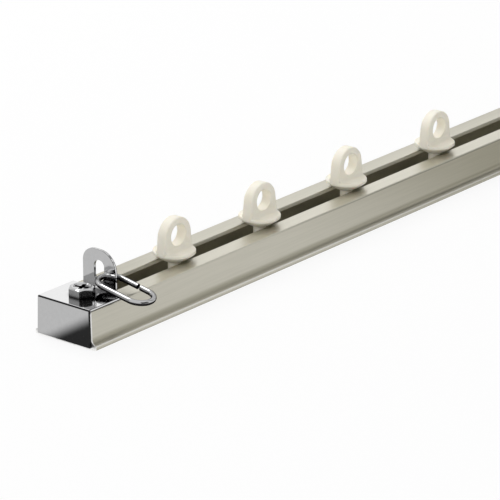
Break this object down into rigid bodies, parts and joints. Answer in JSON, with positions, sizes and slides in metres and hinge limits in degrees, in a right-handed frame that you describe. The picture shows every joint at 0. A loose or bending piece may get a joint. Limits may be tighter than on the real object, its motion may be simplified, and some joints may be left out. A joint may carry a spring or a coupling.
{
  "type": "curtain track",
  "caption": "Slotted aluminium curtain track with foot flanges, sliding plastic eye runners, and bent chrome end caps held by screws, each with a split oval ring.",
  "frame": {"origin": "middle of the mounting face, on which the track lies", "axes": "+X along the track, away from the left end cap; +Z out of the slot, which faces down in use; -Y is the picture's near side"},
  "size_m": [0.2816, 0.0386, 0.0248],
  "materials": {
    "track_aluminium": "brushed and anodised, warm silver",
    "chrome_sheet": "bright chromed sheet",
    "chrome_screw": "bright plated",
    "plain_steel": "zinc plated",
    "chrome_wire": "dark bright-plated wire",
    "ivory_plastic": "moulded, satin"
  },
  "bodies": {
    "track_assembly": {"track": "track_aluminium", "end_cap_left": "chrome_sheet", "end_cap_right": "chrome_sheet", "cap_screw_left": "chrome_screw", "cap_screw_right": "chrome_screw", "clamp_nut_left": "plain_steel", "clamp_nut_right": "plain_steel"},
    "runner_1": {"runner_1": "ivory_plastic"},
    "runner_2": {"runner_2": "ivory_plastic"},
    "runner_3": {"runner_3": "ivory_plastic"},
    "runner_4": {"runner_4": "ivory_plastic"},
    "ring_left": {"ring_left": "chrome_wire"},
    "ring_right": {"ring_right": "chrome_wire"}
  },
  "joints": [
    {"name": "runner_1_slide", "type": "slide", "parent": "track_assembly", "child": "runner_1", "axis": [1, 0, 0], "range_m": [-0.02015, 0.02645]},
    {"name": "runner_2_slide", "type": "slide", "parent": "track_assembly", "child": "runner_2", "axis": [1, 0, 0], "range_m": [-0.02645, 0.0294]},
    {"name": "runner_3_slide", "type": "slide", "parent": "track_assembly", "child": "runner_3", "axis": [1, 0, 0], "range_m": [-0.0294, 0.03285]},
    {"name": "runner_4_slide", "type": "slide", "parent": "track_assembly", "child": "runner_4", "axis": [1, 0, 0], "range_m": [-0.03285, 0.07425]},
    {"name": "ring_left_swing", "type": "hinge", "parent": "track_assembly", "child": "ring_left", "pos_m": [-0.12405, 0, 0.01522], "axis": [-1, 0, 0], "range_deg": [0, 200]},
    {"name": "ring_right_swing", "type": "hinge", "parent": "track_assembly", "child": "ring_right", "pos_m": [0.12405, 0, 0.01522], "axis": [1, 0, 0], "range_deg": [0, 200]}
  ]
}
